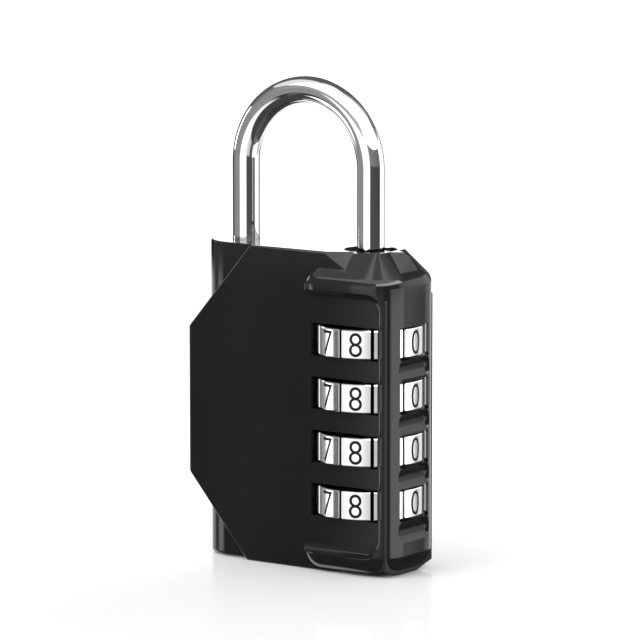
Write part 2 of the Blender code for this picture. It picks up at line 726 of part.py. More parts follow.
def paint(parts):
    """Give every piece its finish."""
    black = new_material("black_lacquer", (0.012, 0.012, 0.013), 0.3, 0.4)
    chrome = new_material("chrome", (0.86, 0.86, 0.87), 0.06, 1.0)
    white = new_material("dial_white", (0.85, 0.85, 0.85), 0.3, 0.1)
    zinc = new_material("raw_zinc", (0.55, 0.56, 0.58), 0.4, 1.0)
    steel = new_material("spring_steel", (0.5, 0.5, 0.52), 0.3, 1.0)
    nylon = new_material("black_nylon", (0.02, 0.02, 0.02), 0.5, 0.0)
    finishes = {"housing": black, "back_cover": black, "cover_rivet": black, "shackle": chrome, "dial": white,
                "clutch_hub": zinc, "spacer": steel, "heel_bushing": nylon, "toe_bushing": nylon,
                "shackle_spring": steel, "spring_seat": zinc, "detent_plate": steel, "detent_pin": steel}
    for obj in parts.objects:
        kind = obj.name.rstrip("_0123456789")
        obj.data.materials.clear()
        obj.data.materials.append(finishes[kind])


def hide_tools(tools):
    for obj in tools.objects:
        obj.display_type = "WIRE"
        obj.hide_render = True


def main():
    clear_scene()
    parts = new_collection("padlock")
    tools = new_collection("cutters")
    blank = make_body_blank(tools)
    leg_bore_cutter(tools)
    rivet_holes = rivet_hole_cutters(tools)
    cut(make_housing(parts, tools, blank), *rivet_holes)
    cut(make_back_cover(parts, tools, blank), *rivet_holes)
    make_cover_rivets(parts)
    make_shackle(parts, tools)
    make_bushing(parts, "heel_bushing", DIAL_X, LEG_BORE - GAP, BUSHING_LENGTH, BODY_HEIGHT - BUSHING_LENGTH - 0.5 * MM)
    make_bushing(parts, "toe_bushing", TOE_X, TOE_BUSHING_RADIUS, TOE_BUSHING_LENGTH, BODY_HEIGHT - TOE_BUSHING_LENGTH)
    for index in range(DIAL_COUNT):
        make_dial(parts, index)
        make_hub(parts, index)
    for index in range(DIAL_COUNT - 1):
        make_spacer(parts, index)
    make_shackle_spring(parts)
    make_spring_seat(parts)
    make_detent_plate(parts, tools)
    make_detent_pins(parts)
    paint(parts)
    hide_tools(tools)


main()
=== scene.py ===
"""The look of a four-dial combination padlock: its casting, dials, shackle and small parts, as an add-on."""
import math

import bmesh
import bpy
from bpy.props import FloatProperty, FloatVectorProperty, PointerProperty
from mathutils import Matrix, Vector


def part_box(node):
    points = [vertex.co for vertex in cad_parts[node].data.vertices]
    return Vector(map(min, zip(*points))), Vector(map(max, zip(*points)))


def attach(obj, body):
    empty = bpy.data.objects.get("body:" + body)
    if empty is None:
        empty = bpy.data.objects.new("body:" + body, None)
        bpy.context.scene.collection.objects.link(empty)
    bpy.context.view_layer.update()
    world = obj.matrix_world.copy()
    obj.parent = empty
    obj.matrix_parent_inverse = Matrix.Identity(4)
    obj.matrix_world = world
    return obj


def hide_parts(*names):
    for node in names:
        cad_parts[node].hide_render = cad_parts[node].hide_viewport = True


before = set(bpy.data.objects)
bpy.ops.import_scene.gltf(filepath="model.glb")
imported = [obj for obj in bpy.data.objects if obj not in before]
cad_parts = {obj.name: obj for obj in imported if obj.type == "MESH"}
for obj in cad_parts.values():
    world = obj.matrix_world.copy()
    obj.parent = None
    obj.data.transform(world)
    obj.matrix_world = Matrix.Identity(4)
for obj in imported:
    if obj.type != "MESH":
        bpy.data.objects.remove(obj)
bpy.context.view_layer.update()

bl_info = {
    "name": "Combination padlock",
    "version": (1, 0, 0),
    "blender": (4, 5, 0),
    "location": "View3D > Sidebar > Padlock",
    "description": "Builds the visible pieces and finishes of a four-dial combination padlock",
    "category": "Object",
}

MM = 0.001
CASE_BOUNDS = [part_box(node) for node in ("housing", "back_cover")]
CASE_TOP = max(high.z for low, high in CASE_BOUNDS)
COLUMN_HALF_DEPTH = -min(low.y for low, high in CASE_BOUNDS)
EDGE_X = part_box("back_cover")[0].x
SIDE_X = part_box("housing")[1].x
SEAM_Y = (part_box("housing")[1].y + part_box("back_cover")[0].y) / 2
DIALS = ["dial_%d" % number for number in range(1, 5)]
DIAL_BOXES = {node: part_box(node) for node in DIALS}
DIAL_X = sum(corner.x for corner in DIAL_BOXES["dial_1"]) / 2
DIAL_RADIUS = (DIAL_BOXES["dial_1"][1].x - DIAL_BOXES["dial_1"][0].x) / 2
DIAL_HEIGHT = DIAL_BOXES["dial_1"][1].z - DIAL_BOXES["dial_1"][0].z
DIAL_HEIGHTS = [sum(corner.z for corner in DIAL_BOXES[node]) / 2 for node in DIALS]
DIAL_PITCH = DIAL_HEIGHTS[0] - DIAL_HEIGHTS[1]
COLUMN_HALF_WIDTH = SIDE_X - DIAL_X
TOE_X = sum(corner.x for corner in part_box("toe_bushing")) / 2
ROD_RADIUS = (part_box("shackle")[1].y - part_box("shackle")[0].y) / 2
BOW_X = (TOE_X + DIAL_X) / 2
BOW_RADIUS = (DIAL_X - TOE_X) / 2
BOW_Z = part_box("shackle")[1].z - ROD_RADIUS - BOW_RADIUS
TOE_DEPTH = 7.0 * MM
TOE_END_Z = CASE_TOP - TOE_DEPTH
HEEL_END_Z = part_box("shackle")[0].z
RIVETS = ["cover_rivet_%d" % number for number in range(1, 5)]
RIVET_SINK = 0.1 * MM
PLATE_HALF_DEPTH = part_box(RIVETS[0])[1].y + RIVET_SINK
FLUSH = 0.02 * MM  # keeps two faces of one form from lying in the same plane
NEAR = 0.01 * MM  # how close a point has to be to count as on a face
OVERCUT = 4 * MM  # how far a cutting tool reaches past what it cuts
POCKET_GAP = 0.25 * MM  # around a dial
POCKET_ROOM = 0.3 * MM  # above and below a dial
PARTING = 0.04 * MM  # from the seam to each half of the case
ALONG_X, ALONG_Y = (0, math.pi / 2, 0), (math.pi / 2, 0, 0)  # how a rod is turned to lie along an axis
DIGIT_STEP = math.radians(36)
GROOVE_ANGLE = 18  # degrees from a digit's middle to the groove beside it


# ---------------------------------------------------------------- settings

def length(name, default, description, low=0.0):
    return FloatProperty(name=name, description=description, default=default, min=low, unit="LENGTH",
                         precision=5)


def colour(name, default, description):
    return FloatVectorProperty(name=name, description=description, default=default, size=3, min=0, max=1,
                               subtype="COLOR")


class PADLOCK_PG_case(bpy.types.PropertyGroup):
    """Sizes of the casting and the cover"""
    plate_top_reach: length("Plate Top Reach", 20.0 * MM, "From the dials' axis to the upper cut corner")
    plate_top_drop: length("Plate Top Drop", 14.8 * MM, "From the top down to the end of the upper cut")
    plate_foot_reach: length("Plate Foot Reach", 20.8 * MM, "From the dials' axis to the lower cut corner")
    plate_foot_rise: length("Plate Foot Rise", 14.2 * MM, "From the base up to the end of the lower cut")
    plate_edge: length("Plate Edge", 0.4 * MM, "Rounding of the plate's rim")
    toe_end_radius: length("Toe End Radius", 6.0 * MM, "Radius of the round end that holds the shackle's toe")
    column_toe_corner: length("Column Toe Corner", 4.9 * MM, "Radius of the column's corners on the plate")
    column_toe_reach: length("Column Toe Reach", 9.9 * MM, "From the dials' axis to the column's toe side")
    column_chamfer: length("Column Chamfer", 4.5 * MM, "Width of the chamfer around the column's top")
    column_foot: length("Column Foot", 3.5 * MM, "Rounding of the column's foot")
    panel_foot: length("Panel Foot", 3.3 * MM, "Height of the window panel's lower lip")
    panel_head: length("Panel Head", 47.9 * MM, "Height of the window panel's upper lip")
    panel_reach: length("Panel Reach", 7.2 * MM, "From the dials' axis to the window panel's side lip")
    panel_corner: length("Panel Corner", 3.2 * MM, "Corner radius of the window panel")
    panel_cove: length("Panel Cove", 1.5 * MM, "Radius of the cove between the panel's floor and its lip")
    window_reach: length("Window Reach", 7.2 * MM, "From the dials' axis to a window's end")
    scoop_radius: length("Scoop Radius", 2.4 * MM, "Radius of a thumb scoop")
    scoop_depth: length("Scoop Depth", 0.9 * MM, "Depth of a thumb scoop")


class PADLOCK_PG_dials(bpy.types.PropertyGroup):
    """Sizes of the dials and their digits"""
    groove_depth: length("Groove Depth", 0.55 * MM, "Depth of the groove between two digits")
    groove_half: FloatProperty(name="Groove Half Angle", description="Half of a groove's width",
                               default=math.radians(2.2), subtype="ANGLE")
    rim_edge: length("Rim Edge", 0.22 * MM, "Bevel of the dial's rims")
    digit_height: length("Digit Height", 4.05 * MM, "Height of a digit")
    digit_width: FloatProperty(name="Digit Width", description="Width of a digit against the font's own",
                               default=0.9, min=0.5, max=1.5)
    digit_weight: length("Digit Weight", -0.02 * MM, "Outline offset of the digits, negative for thin", -1)
    print_height: length("Print Height", 0.02 * MM, "How far the digits stand above the dial")


class PADLOCK_PG_finishes(bpy.types.PropertyGroup):
    """Colours and gloss"""
    lacquer: colour("Lacquer", (0.0105, 0.0105, 0.011), "Black lacquer of the casting and the cover")
    chrome: colour("Chrome", (0.88, 0.88, 0.89), "Mirror plate of the shackle")
    dial: colour("Dial", (0.88, 0.88, 0.88), "White satin of the dials")
    digit: colour("Digit", (0.006, 0.006, 0.006), "Black print of the digits")
    brass: colour("Brass", (0.68, 0.50, 0.24), "Clutch hubs and spring seat")
    steel: colour("Steel", (0.50, 0.51, 0.53), "Springs, spacers and pins")
    nylon: colour("Nylon", (0.016, 0.016, 0.017), "Bushings around the shackle's legs")


class PADLOCK_PG_stage(bpy.types.PropertyGroup):
    """Camera and floor"""
    camera_turn: FloatProperty(name="Camera Turn", description="Camera direction, from the front to the side",
                               default=math.radians(34.8), subtype="ANGLE")
    camera_rise: FloatProperty(name="Camera Rise", description="Camera height as an angle",
                               default=math.radians(8.4), subtype="ANGLE")
    camera_distance: length("Camera Distance", 785 * MM, "From the camera to its target")
    camera_lens: FloatProperty(name="Camera Lens", description="Focal length in millimetres on a 36 mm frame",
                               default=261.4)
    target_x: length("Target X", 1.5 * MM, "Where the camera looks, across", -1)
    target_z: length("Target Height", 41.36 * MM, "Where the camera looks, up")
    floor_size: length("Floor Size", 3.0, "Side of the floor")


# ---------------------------------------------------------------- modelling by hand, in small steps

def deselect():
    bpy.ops.object.select_all(action="DESELECT")


def only(obj):
    deselect()
    obj.select_set(True)
    bpy.context.view_layer.objects.active = obj
    return obj


def named(name):
    obj = bpy.context.object
    obj.name = name
    obj.data.name = name
    bpy.ops.object.transform_apply(location=True, rotation=True, scale=True)
    return obj


def add_block(name, low, high):
    """A block between two corners, with its place in its mesh."""
    deselect()
    middle = [(a + b) / 2 for a, b in zip(low, high)]
    size = [b - a for a, b in zip(low, high)]
    bpy.ops.mesh.primitive_cube_add(size=1, location=middle, scale=size)
    return named(name)


def add_rod(name, radius, low, high, x, y=0.0, sides=96, turn=(0, 0, 0), z=None):
    """A rod along Z from low to high, or along another axis when it is turned about its middle."""
    deselect()
    middle = (x, y, (low + high) / 2) if z is None else (x, y, z)
    bpy.ops.mesh.primitive_cylinder_add(vertices=sides, radius=radius, depth=high - low, location=middle,
                                        rotation=turn)
    return named(name)


def pick(obj, kind, test):
    """Enter edit mode with only the points, edges or faces that pass the test selected."""
    only(obj)
    bpy.ops.object.mode_set(mode="EDIT")
    bpy.ops.mesh.select_mode(type=kind)
    bpy.ops.mesh.select_all(action="DESELECT")
    mesh = bmesh.from_edit_mesh(obj.data)
    for item in {"VERT": mesh.verts, "EDGE": mesh.edges, "FACE": mesh.faces}[kind]:
        if test(item):
            item.select_set(True)
    if kind == "VERT":
        mesh.select_flush_mode()
    bmesh.update_edit_mesh(obj.data)


def pick_points(obj, test):
    pick(obj, "VERT", lambda point: test(point.co))


def leave_edit():
    bpy.ops.object.mode_set(mode="OBJECT")


def round_edges(obj, test, width, segments, profile=0.5):
    pick(obj, "EDGE", test)
    bpy.ops.mesh.bevel(offset=width, segments=segments, profile=profile, affect="EDGES", clamp_overlap=True)
    leave_edit()
    return obj


def slice_off(obj, point, normal):
    """Cut away what lies on the normal's side of a plane, and close the cut."""
    only(obj)
    bpy.ops.object.mode_set(mode="EDIT")
    bpy.ops.mesh.select_all(action="SELECT")
    bpy.ops.mesh.bisect(plane_co=point, plane_no=Vector(normal).normalized(), use_fill=True, clear_outer=True,
                        threshold=1e-7)
    leave_edit()
    return obj


def is_sharp(edge, degrees=25):
    return len(edge.link_faces) == 2 and edge.calc_face_angle(0) > math.radians(degrees)


def middle_of(edge):
    return (edge.verts[0].co + edge.verts[1].co) / 2


def runs_along(edge, axis):
    a, b = edge.verts
    along = abs(a.co[axis] - b.co[axis])
    return along > 0.999 * (a.co - b.co).length


def boolean(obj, tool, operation, keep=False):
    only(obj)
    step = obj.modifiers.new("step", "BOOLEAN")
    step.operation = operation
    step.solver = "MANIFOLD"
    step.object = tool
    bpy.ops.object.modifier_apply(modifier=step.name)
    if not keep:
        bpy.data.objects.remove(tool)
    if not obj.data.polygons:
        raise RuntimeError("%s is empty after %s" % (obj.name, operation))
    return obj


def cut(obj, *tools):
    for tool in tools:
        boolean(obj, tool, "DIFFERENCE")
    return obj


def join(obj, *others):
    for other in others:
        boolean(obj, other, "UNION")
    return obj


def merge_close(obj, distance=0.004 * MM):
    only(obj)
    bpy.ops.object.mode_set(mode="EDIT")
    bpy.ops.mesh.select_all(action="SELECT")
    bpy.ops.mesh.remove_doubles(threshold=distance)
    leave_edit()
    return obj


def copy_of(obj, name):
    twin = obj.copy()
    twin.data = obj.data.copy()
    twin.name = name
    twin.data.name = name
    bpy.context.scene.collection.objects.link(twin)
    return twin


def shade(obj, degrees=28):
    only(obj)
    bpy.ops.object.shade_smooth_by_angle(angle=math.radians(degrees))
    bpy.ops.object.modifier_add(type="WEIGHTED_NORMAL")
    obj.modifiers[-1].keep_sharp = True
    obj.modifiers[-1].weight = 100
    bpy.ops.object.modifier_apply(modifier=obj.modifiers[-1].name)
    return obj


def hand_over(obj, body, slot, material, *nodes):
    """Give a finished piece its material and body, and hide the nodes it stands for. The slot is not used."""
    obj.data.materials.clear()
    obj.data.materials.append(material)
    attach(obj, body)
    if nodes:
        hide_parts(*nodes)
    return obj


# ---------------------------------------------------------------- the case

def column_corner_depth(case):
    """How far below the top the chamfer meets the plate's face, and the same at the rounded foot."""
    proud = COLUMN_HALF_DEPTH - PLATE_HALF_DEPTH
    inner = case.column_foot - proud
    return case.column_chamfer - proud, case.column_foot - math.sqrt(case.column_foot ** 2 - inner ** 2)


def make_plate(case):
    """The flat plate: a block with two cut corners, blended into the column, and a rounded rim."""
    reach = DIAL_X + case.panel_reach + 0.6 * MM
    plate = add_block("case_plate", (EDGE_X, -PLATE_HALF_DEPTH, 0), (reach, PLATE_HALF_DEPTH, CASE_TOP))
    top_x = DIAL_X - case.plate_top_reach
    foot_x = DIAL_X - case.plate_foot_reach
    slice_off(plate, (top_x, 0, CASE_TOP), (-case.plate_top_drop, 0, top_x - EDGE_X))
    slice_off(plate, (foot_x, 0, 0), (-case.plate_foot_rise, 0, EDGE_X - foot_x))
    top_fall, foot_lift = column_corner_depth(case)
    fade, meet = 5.0 * MM, 0.5 * MM
    corners = ((CASE_TOP, -top_fall, case.column_chamfer), (0, foot_lift, case.column_foot))
    for side in (-1, 1):
        face_y = side * PLATE_HALF_DEPTH
        for height, step, inset in corners:
            start = Vector((DIAL_X - fade, face_y, height))
            across = Vector((DIAL_X - meet, side * (COLUMN_HALF_DEPTH - inset), height))
            down = Vector((DIAL_X - meet, face_y, height + step))
            normal = (across - start).cross(down - start)
            if normal.y * side < 0:
                normal.negate()
            slice_off(plate, start, normal)
    rim = DIAL_X - fade / 2

    def on_rim(edge):
        on_face = all(abs(abs(v.co.y) - PLATE_HALF_DEPTH) < NEAR for v in edge.verts)
        return on_face and is_sharp(edge, 5) and middle_of(edge).x < rim

    return round_edges(plate, on_rim, case.plate_edge, 4)


def make_toe_end(case):
    """The round end around the shackle's toe."""
    radius = case.toe_end_radius
    right = DIAL_X - COLUMN_HALF_WIDTH + 2 * MM
    low, high = FLUSH, CASE_TOP - FLUSH
    end = add_block("case_toe_end", (TOE_X - radius, -radius, low), (right, radius, high))
    round_edges(end, lambda edge: runs_along(edge, 2) and middle_of(edge).x < TOE_X, radius - NEAR, 28)

    def at(height):
        return lambda edge: middle_of(edge).x < right - MM and all(abs(v.co.z - height) < FLUSH / 4
                                                                   for v in edge.verts)

    foot_edge, top_edge = 1.0 * MM, 0.35 * MM
    round_edges(end, at(low), foot_edge, 5)
    return round_edges(end, at(high), top_edge, 3)


def make_panel_tool(case, side):
    """What the window panel leaves out of the column: a deep block with round corners and a coved floor."""
    floor = side * (PLATE_HALF_DEPTH - FLUSH)
    outside = side * (COLUMN_HALF_DEPTH + OVERCUT)
    low_y, high_y = sorted((floor, outside))
    left = DIAL_X - COLUMN_HALF_WIDTH - OVERCUT
    right = DIAL_X + case.panel_reach + 0.45 * MM
    tool = add_block("panel_tool", (left, low_y, case.panel_foot), (right, high_y, case.panel_head))
    round_edges(tool, lambda edge: runs_along(edge, 1) and middle_of(edge).x > DIAL_X, case.panel_corner, 12)

    def around_floor(edge):
        on_floor = all(abs(v.co.y - floor) < NEAR for v in edge.verts)
        return on_floor and middle_of(edge).x > left + NEAR

    return round_edges(tool, around_floor, case.panel_cove, 8)


def make_column(case):
    """The square column around the dials, with its chamfered top, rounded foot and both window panels."""
    low, high = FLUSH, CASE_TOP - FLUSH
    toe_side = DIAL_X - case.column_toe_reach
    column = add_block("case_column", (toe_side, -COLUMN_HALF_DEPTH, low), (SIDE_X, COLUMN_HALF_DEPTH, high))
    soft_corner = COLUMN_HALF_DEPTH - 0.3 * MM
    soft_profile = 0.64  # curved all the way round the side, as deep in its middle as a round corner
    round_edges(column, lambda edge: runs_along(edge, 2) and middle_of(edge).x > DIAL_X, soft_corner, 28,
                soft_profile)
    round_edges(column, lambda edge: runs_along(edge, 2) and middle_of(edge).x < toe_side + NEAR,
                case.column_toe_corner, 12)

    def at(height):
        return lambda edge: all(abs(v.co.z - height) < FLUSH / 4 for v in edge.verts)

    round_edges(column, at(high), case.column_chamfer, 1)
    round_edges(column, at(low), case.column_foot, 10)
    shoulder = high - case.column_chamfer

    def outer_side(edge):
        return at(shoulder)(edge) and is_sharp(edge, 20)

    shoulder_edge = 0.9 * MM
    round_edges(column, outer_side, shoulder_edge, 5)
    return cut(column, make_panel_tool(case, -1), make_panel_tool(case, 1))


def make_window_tool(case, index):
    """A dial's pocket with its front, back and side windows, as one tool."""
    half = DIAL_HEIGHT / 2 + POCKET_ROOM
    middle = DIAL_HEIGHTS[index]
    tool = add_rod("window_tool", DIAL_RADIUS + POCKET_GAP, middle - half, middle + half, DIAL_X, sides=240)
    out, inside = 8 * MM, 4 * MM
    for side in (-1, 1):
        pick_points(tool, lambda co: -case.window_reach < co.x - DIAL_X < NEAR and co.y * side > inside)
        bpy.ops.transform.translate(value=(0, side * out, 0))
        leave_edit()
    pick_points(tool, lambda co: abs(co.y) < SEAM_Y and co.x > DIAL_X)
    bpy.ops.transform.translate(value=(out, 0, 0))
    leave_edit()
    return tool


def make_scoop_tool(case, index):
    """A thumb scoop across the column's side, with soft ends."""
    reach = SEAM_Y + 0.7 * MM
    height = DIAL_HEIGHTS[index] - DIAL_PITCH / 2
    centre_x = SIDE_X + case.scoop_radius - case.scoop_depth
    tool = add_rod("scoop_tool", case.scoop_radius, -reach, reach, centre_x, sides=64, turn=ALONG_Y, z=height)
    soft_end = 1.1 * MM
    return round_edges(tool, lambda edge: is_sharp(edge, 60), soft_end, 6)


def make_inner_tools():
    """Everything inside that the leg, spacers, bushings, pins and detent plate need room for."""
    leg_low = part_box("spring_seat")[0].z - 0.3 * MM
    spacer_low, spacer_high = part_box("spacer_1")
    stack_radius = (spacer_high.x - spacer_low.x) / 2 + 0.3 * MM
    bush_low, bush_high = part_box("heel_bushing")
    leg_radius = (bush_high.x - bush_low.x) / 2 + 0.1 * MM
    toe_low, toe_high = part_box("toe_bushing")
    toe_radius = (toe_high.x - toe_low.x) / 2 + 0.05 * MM
    top = CASE_TOP + OVERCUT
    return [
        add_rod("stack_tool", stack_radius, DIAL_HEIGHTS[3], DIAL_HEIGHTS[0], DIAL_X),
        add_rod("leg_tool", leg_radius, leg_low, top, DIAL_X),
        add_rod("toe_tool", ROD_RADIUS + 0.3 * MM, TOE_END_Z - 1.2 * MM, top, TOE_X),
        add_rod("toe_bush_tool", toe_radius, toe_low.z - 0.1 * MM, top, TOE_X)]


# the light cores' middles, in millimetres from the dials' axis and up
CORES = ((17.0, 37.5), (24.5, 36.5), (17.0, 16.0), (24.5, 16.0))


def make_housing_tools():
    """Slots that open the housing to the seam, for the dials, the detent plate and pins, and light cores."""
    pocket = DIAL_RADIUS + POCKET_GAP
    tools = []
    for height in DIAL_HEIGHTS:
        half = DIAL_HEIGHT / 2 + POCKET_ROOM - FLUSH
        tools.append(add_block("load_tool", (DIAL_X - pocket, 0, height - half),
                               (DIAL_X, SEAM_Y + MM, height + half)))
    clear, pin_radius, pin_overlap, pin_room = 0.6 * MM, 0.8 * MM, 0.5 * MM, 0.3 * MM
    low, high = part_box("detent_plate")
    tools.append(add_block("detent_tool", (low.x - clear, low.y - clear, low.z - clear),
                           (DIAL_X - DIAL_RADIUS, SEAM_Y + MM, high.z + clear)))
    for node in ("detent_pin_1", "detent_pin_2"):
        pin_low, pin_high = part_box(node)
        middle = (pin_low.z + pin_high.z) / 2
        half = (low.x - clear - pin_low.x + pin_overlap) / 2
        tools.append(add_rod("pin_tool", pin_radius, -half, half, pin_low.x + half - pin_room, sides=24,
                             turn=ALONG_X, z=middle))
    core_front, core_width, core_height = 1.8 * MM - PLATE_HALF_DEPTH, 6.0 * MM, 15.0 * MM
    for reach, height in CORES:
        x, z = DIAL_X - reach * MM, height * MM
        tools.append(add_block("core_tool", (x - core_width / 2, core_front, z - core_height / 2),
                               (x + core_width / 2, SEAM_Y + MM, z + core_height / 2)))
    return tools


def make_rivet_tools():
    """Holes and countersinks for the four rivets, as pairs of rods along Y."""
    tools = []
    for node in RIVETS:
        low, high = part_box(node)
        x, z = (low.x + high.x) / 2, (low.z + high.z) / 2
        head_radius = (high.x - low.x) / 2
        sink = (head_radius + 0.08 * MM, high.y - 0.8 * MM, high.y + OVERCUT)
        hole = (head_radius * 2 / 3 + 0.2 * MM, low.y - 0.3 * MM, high.y)
        for radius, start, end in (sink, hole):
            half = (end - start) / 2
            tools.append(add_rod("rivet_tool", radius, -half, half, x, start + half, sides=48,
                                 turn=ALONG_Y, z=z))
    return tools


def soften_openings(case, body):
    """Break the edges of the panel lips, the windows and the scoops."""
    low_z, high_z = case.panel_foot - MM, case.panel_head + MM
    left_x = DIAL_X - case.window_reach - MM / 2

    def lip(edge):
        middle = middle_of(edge)
        outside = abs(middle.y) > PLATE_HALF_DEPTH - 0.05 * MM or middle.x > DIAL_X + 7.9 * MM
        inside = math.hypot(middle.x - DIAL_X, middle.y) < DIAL_RADIUS - 0.5 * MM
        on_panel = low_z < middle.z < high_z and middle.x > left_x
        return on_panel and outside and not inside and is_sharp(edge, 35)

    broken_edge = 0.14 * MM
    return round_edges(body, lip, broken_edge, 2)


def make_case(case):
    """The whole case as one form, then parted at the seam into the housing and the cover."""
    body = join(make_plate(case), make_toe_end(case), make_column(case))
    for index in range(len(DIALS)):
        cut(body, make_window_tool(case, index), make_scoop_tool(case, index))
    cut(body, *make_inner_tools())
    cover = copy_of(body, "back_cover_shell")
    body.name = body.data.name = "housing_shell"
    far = 60 * MM
    cut(body, add_block("behind_seam", (-far, SEAM_Y - PARTING, -far), (far, far, 2 * far)))
    cut(cover, add_block("before_seam", (-far, -far, -far), (far, SEAM_Y + PARTING, 2 * far)))
    cut(body, *make_housing_tools(), *make_rivet_tools())
    cut(cover, *make_rivet_tools())
    for shell in (body, cover):
        soften_openings(case, merge_close(shell))
        shade(shell)
    return body, cover


# ---------------------------------------------------------------- dials, shackle and small parts

def scale_at_angles(obj, test, factor, height):
    """Move the points whose angle around the dials' axis passes the test in or out, all the way up."""
    pick_points(obj, lambda co: test(math.degrees(math.atan2(co.y, co.x - DIAL_X))))
    bpy.ops.transform.resize(value=(factor, factor, 1), center_override=(DIAL_X, 0, height))
    leave_edit()


def off_groove(angle):
    """Degrees from the middle of the nearest groove between two digits."""
    beyond = (angle - GROOVE_ANGLE) % (2 * GROOVE_ANGLE)
    return min(beyond, 2 * GROOVE_ANGLE - beyond)


def make_dial(dials):
    """The first dial: a ring with beveled rims, a groove on each side of a digit, and keyways in its bore."""
    height = DIAL_HEIGHTS[0]
    low, high = height - DIAL_HEIGHT / 2, height + DIAL_HEIGHT / 2
    dial = add_rod("dial_ring", DIAL_RADIUS, low, high, DIAL_X, sides=360)
    round_edges(dial, lambda edge: is_sharp(edge, 60), dials.rim_edge, 2)
    half = round(math.degrees(dials.groove_half))
    for step in range(half):
        fall = dials.groove_depth * (1 - step / half)
        inwards = 1 - fall / DIAL_RADIUS
        scale_at_angles(dial, lambda angle: abs(off_groove(angle) - step) < 0.4, inwards, height)
    bore, keyway_depth, keyway_half = 5.5 * MM, 0.6 * MM, 6.5
    tool = add_rod("bore_tool", bore, low - MM, high + MM, DIAL_X, sides=120)
    outwards = 1 + keyway_depth / bore
    scale_at_angles(tool, lambda angle: GROOVE_ANGLE - off_groove(angle) < keyway_half, outwards, height)
    return shade(cut(dial, tool), 20)


def make_digit(dials, digit):
    """One digit, cut to the dial's curve at its place on the first dial."""
    deselect()
    bpy.ops.object.text_add(location=(0, 0, 0))
    text = bpy.context.object
    text.data.body = str(digit)
    text.data.size = dials.digit_height
    text.data.offset = dials.digit_weight
    text.data.extrude = 0.4 * MM  # deep enough to cross the dial's curve
    bpy.ops.object.convert(target="MESH")
    digit_mesh = bpy.context.object
    corners = [Vector(corner) for corner in digit_mesh.bound_box]
    low = Vector([min(corner[i] for corner in corners) for i in range(3)])
    high = Vector([max(corner[i] for corner in corners) for i in range(3)])
    scale = dials.digit_height / (high.y - low.y)
    angle = digit * DIGIT_STEP
    outward = Vector((math.cos(angle), math.sin(angle), 0))
    right = Vector((-math.sin(angle), math.cos(angle), 0))
    turn = Matrix((right, Vector((0, 0, 1)), outward)).transposed().to_4x4()
    place = Matrix.Translation(Vector((DIAL_X, 0, DIAL_HEIGHTS[0])) + outward * DIAL_RADIUS)
    fit = Matrix.Diagonal((scale * dials.digit_width, scale, 1, 1))
    digit_mesh.matrix_world = place @ turn @ fit @ Matrix.Translation(-(low + high) / 2)
    named("digit_%d" % digit)
    merge_close(digit_mesh, 0.002 * MM)
    only(digit_mesh)
    bpy.ops.object.mode_set(mode="EDIT")
    bpy.ops.mesh.select_all(action="SELECT")
    bpy.ops.mesh.normals_make_consistent(inside=False)
    leave_edit()
    return digit_mesh


def make_digits(dials):
    """The ten digits of the first dial, joined into one piece."""
    height = DIAL_HEIGHTS[0]
    digits = [make_digit(dials, digit) for digit in range(10)]
    for digit_mesh in digits:
        skin = add_rod("print_skin", DIAL_RADIUS + dials.print_height, height - DIAL_HEIGHT,
                       height + DIAL_HEIGHT, DIAL_X, sides=360)
        boolean(digit_mesh, skin, "INTERSECT")
    only(digits[0])
    for digit_mesh in digits:
        digit_mesh.select_set(True)
    bpy.ops.object.join()
    joined = bpy.context.object
    joined.name = joined.data.name = "dial_print"
    return shade(joined, 20)


def moved_copy(obj, name, offset):
    twin = copy_of(obj, name)
    only(twin)
    bpy.ops.transform.translate(value=offset)
    bpy.ops.object.transform_apply(location=True, rotation=True, scale=True)
    return twin


def make_shackle():
    """The rod: a disc pushed up the toe leg, spun over the bow and pushed down the heel leg."""
    deselect()
    bpy.ops.mesh.primitive_circle_add(vertices=96, radius=ROD_RADIUS, fill_type="NGON",
                                      location=(TOE_X, 0, TOE_END_Z))
    shackle = named("shackle_rod")
    only(shackle)
    bpy.ops.object.mode_set(mode="EDIT")
    bpy.ops.mesh.select_all(action="SELECT")
    bpy.ops.mesh.extrude_region_move(TRANSFORM_OT_translate={"value": (0, 0, BOW_Z - TOE_END_Z)})
    bpy.ops.mesh.spin(steps=96, angle=-math.pi, center=(BOW_X, 0, BOW_Z), axis=(0, 1, 0))
    bpy.ops.mesh.extrude_region_move(TRANSFORM_OT_translate={"value": (0, 0, HEEL_END_Z - BOW_Z)})
    bpy.ops.mesh.select_all(action="SELECT")
    bpy.ops.mesh.remove_doubles(threshold=0.002 * MM)
    bpy.ops.mesh.normals_make_consistent(inside=False)
    leave_edit()
    end_edge = 0.5 * MM
    round_edges(shackle, lambda edge: is_sharp(edge, 60), end_edge, 5)
    fin_reach, fin_width, fin_height = 4.3 * MM, 1.6 * MM, 3.0 * MM
    for height in DIAL_HEIGHTS:
        low = height - DIAL_PITCH / 2 - fin_height / 2
        fin = add_block("fin", (DIAL_X - fin_reach, -fin_width / 2, low),
                        (DIAL_X - ROD_RADIUS * 0.8, fin_width / 2, low + fin_height))
        join(shackle, fin)
    bore_radius, bore_top = 1.65 * MM, HEEL_END_Z + 12.0 * MM
    cut(shackle, add_rod("spring_bore", bore_radius, HEEL_END_Z - OVERCUT, bore_top, DIAL_X, sides=48))
    return shade(shackle, 35)


def make_bushing(node, name):
    """A ring around a leg, with rounded rims."""
    low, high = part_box(node)
    x = (low.x + high.x) / 2
    ring = add_rod(name, (high.x - low.x) / 2, low.z, high.z, x)
    fit, rim = 0.12 * MM, 0.12 * MM
    cut(ring, add_rod("bush_tool", ROD_RADIUS + fit, low.z - MM, high.z + MM, x))
    round_edges(ring, lambda edge: is_sharp(edge, 60), rim, 2)
    return shade(ring)


